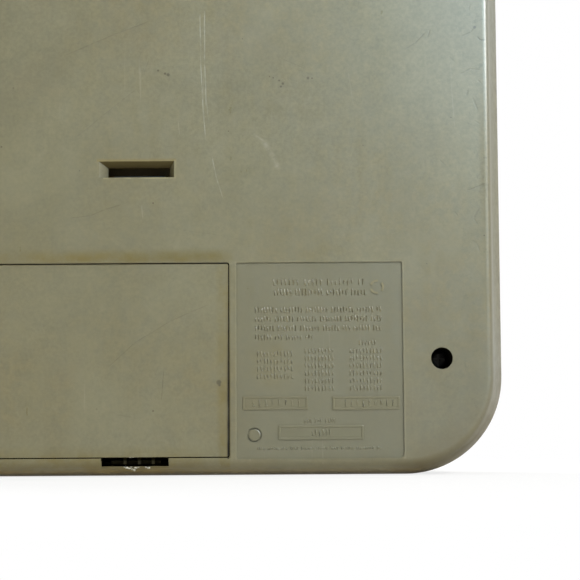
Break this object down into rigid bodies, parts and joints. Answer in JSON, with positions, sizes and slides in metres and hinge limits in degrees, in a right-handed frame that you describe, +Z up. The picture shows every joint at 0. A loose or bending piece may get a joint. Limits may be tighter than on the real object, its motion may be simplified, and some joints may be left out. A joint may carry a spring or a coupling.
{
  "type": "electronic learning aid",
  "caption": "Upright hand-held arithmetic machine with carry handle, display window, round speaker grille, travelling keys and a battery door on the flat back.",
  "frame": {"origin": "centre of the flat bottom edge the device stands on, midway across the front casing's width", "axes": "+X to the right when the keys face the reader, +Y towards the back with the battery door, +Z up towards the carry handle"},
  "size_m": [0.214, 0.0426, 0.29],
  "materials": {
    "case": "aged satin ABS, fine moulded texture, scratched",
    "panel": "satin moulded plastic",
    "key_cream": "satin moulded keycap",
    "key_orange": "satin moulded keycap",
    "key_blue": "satin moulded keycap",
    "display_lens": "tinted polished acrylic",
    "grille": "satin moulded plastic",
    "rubber": "moulded silicone rubber",
    "board": "brown phenolic laminate with a printed copper side",
    "chip": "moulded epoxy",
    "tube_glass": "clear glass over phosphor segments",
    "cone_paper": "pressed paper pulp",
    "steel": "plated pressed steel",
    "screw_steel": "blackened steel",
    "ferrite": "sintered ferrite",
    "cell_jacket": "printed steel jacket",
    "socket": "moulded plastic",
    "cable": "extruded vinyl",
    "lead": "extruded vinyl",
    "capacitor_sleeve": "shrunk vinyl sleeve"
  },
  "bodies": {
    "casing": {"rear_casing": "case", "front_casing": "case", "keypad_panel": "panel", "contact_sheet": "rubber", "key_board": "board", "main_board": "board", "controller_chip": "chip", "speech_chip": "chip", "memory_chip_1": "chip", "memory_chip_2": "chip", "display_converter": "ferrite", "smoothing_capacitor": "capacitor_sleeve", "display_tube": "tube_glass", "display_board": "board", "display_window": "display_lens", "speaker_grille": "grille", "speaker_basket": "steel", "speaker_cone": "cone_paper", "speaker_magnet": "ferrite", "battery_1": "cell_jacket", "battery_2": "cell_jacket", "battery_3": "cell_jacket", "battery_4": "cell_jacket", "contact_spring_1": "steel", "contact_spring_2": "steel", "contact_plate_1": "steel", "contact_plate_2": "steel", "adapter_jack": "socket", "earphone_jack": "socket", "ribbon_cable": "cable", "speaker_lead": "lead", "case_screw_1": "screw_steel", "case_screw_2": "screw_steel", "case_screw_3": "screw_steel", "case_screw_4": "screw_steel"},
    "battery_door": {"battery_door": "case"},
    "key_power": {"key_power": "key_orange"},
    "key_previous": {"key_previous": "key_blue"},
    "key_next": {"key_next": "key_blue"},
    "key_mode": {"key_mode": "key_blue"},
    "key_replay": {"key_replay": "key_blue"},
    "key_clear": {"key_clear": "key_blue"},
    "key_7": {"key_7": "key_cream"},
    "key_8": {"key_8": "key_cream"},
    "key_9": {"key_9": "key_cream"},
    "key_plus": {"key_plus": "key_orange"},
    "key_minus": {"key_minus": "key_orange"},
    "key_repeat": {"key_repeat": "key_blue"},
    "key_4": {"key_4": "key_cream"},
    "key_5": {"key_5": "key_cream"},
    "key_6": {"key_6": "key_cream"},
    "key_times": {"key_times": "key_orange"},
    "key_divide": {"key_divide": "key_orange"},
    "key_hint": {"key_hint": "key_blue"},
    "key_1": {"key_1": "key_cream"},
    "key_2": {"key_2": "key_cream"},
    "key_3": {"key_3": "key_cream"},
    "key_0": {"key_0": "key_cream"},
    "key_point": {"key_point": "key_cream"},
    "key_equals": {"key_equals": "key_orange"}
  },
  "joints": [
    {"name": "battery_door_hinge", "type": "hinge", "parent": "casing", "child": "battery_door", "pos_m": [0.0265, 0.02, 0.061], "axis": [1, 0, 0], "range_deg": [0, 110]},
    {"name": "key_power_press", "type": "slide", "parent": "casing", "child": "key_power", "axis": [0, 1, 0], "range_m": [0, 0.0015]},
    {"name": "key_previous_press", "type": "slide", "parent": "casing", "child": "key_previous", "axis": [0, 1, 0], "range_m": [0, 0.0015]},
    {"name": "key_next_press", "type": "slide", "parent": "casing", "child": "key_next", "axis": [0, 1, 0], "range_m": [0, 0.0015]},
    {"name": "key_mode_press", "type": "slide", "parent": "casing", "child": "key_mode", "axis": [0, 1, 0], "range_m": [0, 0.0015]},
    {"name": "key_replay_press", "type": "slide", "parent": "casing", "child": "key_replay", "axis": [0, 1, 0], "range_m": [0, 0.0015]},
    {"name": "key_clear_press", "type": "slide", "parent": "casing", "child": "key_clear", "axis": [0, 1, 0], "range_m": [0, 0.0015]},
    {"name": "key_7_press", "type": "slide", "parent": "casing", "child": "key_7", "axis": [0, 1, 0], "range_m": [0, 0.0015]},
    {"name": "key_8_press", "type": "slide", "parent": "casing", "child": "key_8", "axis": [0, 1, 0], "range_m": [0, 0.0015]},
    {"name": "key_9_press", "type": "slide", "parent": "casing", "child": "key_9", "axis": [0, 1, 0], "range_m": [0, 0.0015]},
    {"name": "key_plus_press", "type": "slide", "parent": "casing", "child": "key_plus", "axis": [0, 1, 0], "range_m": [0, 0.0015]},
    {"name": "key_minus_press", "type": "slide", "parent": "casing", "child": "key_minus", "axis": [0, 1, 0], "range_m": [0, 0.0015]},
    {"name": "key_repeat_press", "type": "slide", "parent": "casing", "child": "key_repeat", "axis": [0, 1, 0], "range_m": [0, 0.0015]},
    {"name": "key_4_press", "type": "slide", "parent": "casing", "child": "key_4", "axis": [0, 1, 0], "range_m": [0, 0.0015]},
    {"name": "key_5_press", "type": "slide", "parent": "casing", "child": "key_5", "axis": [0, 1, 0], "range_m": [0, 0.0015]},
    {"name": "key_6_press", "type": "slide", "parent": "casing", "child": "key_6", "axis": [0, 1, 0], "range_m": [0, 0.0015]},
    {"name": "key_times_press", "type": "slide", "parent": "casing", "child": "key_times", "axis": [0, 1, 0], "range_m": [0, 0.0015]},
    {"name": "key_divide_press", "type": "slide", "parent": "casing", "child": "key_divide", "axis": [0, 1, 0], "range_m": [0, 0.0015]},
    {"name": "key_hint_press", "type": "slide", "parent": "casing", "child": "key_hint", "axis": [0, 1, 0], "range_m": [0, 0.0015]},
    {"name": "key_1_press", "type": "slide", "parent": "casing", "child": "key_1", "axis": [0, 1, 0], "range_m": [0, 0.0015]},
    {"name": "key_2_press", "type": "slide", "parent": "casing", "child": "key_2", "axis": [0, 1, 0], "range_m": [0, 0.0015]},
    {"name": "key_3_press", "type": "slide", "parent": "casing", "child": "key_3", "axis": [0, 1, 0], "range_m": [0, 0.0015]},
    {"name": "key_0_press", "type": "slide", "parent": "casing", "child": "key_0", "axis": [0, 1, 0], "range_m": [0, 0.0015]},
    {"name": "key_point_press", "type": "slide", "parent": "casing", "child": "key_point", "axis": [0, 1, 0], "range_m": [0, 0.0015]},
    {"name": "key_equals_press", "type": "slide", "parent": "casing", "child": "key_equals", "axis": [0, 1, 0], "range_m": [0, 0.0015]}
  ]
}
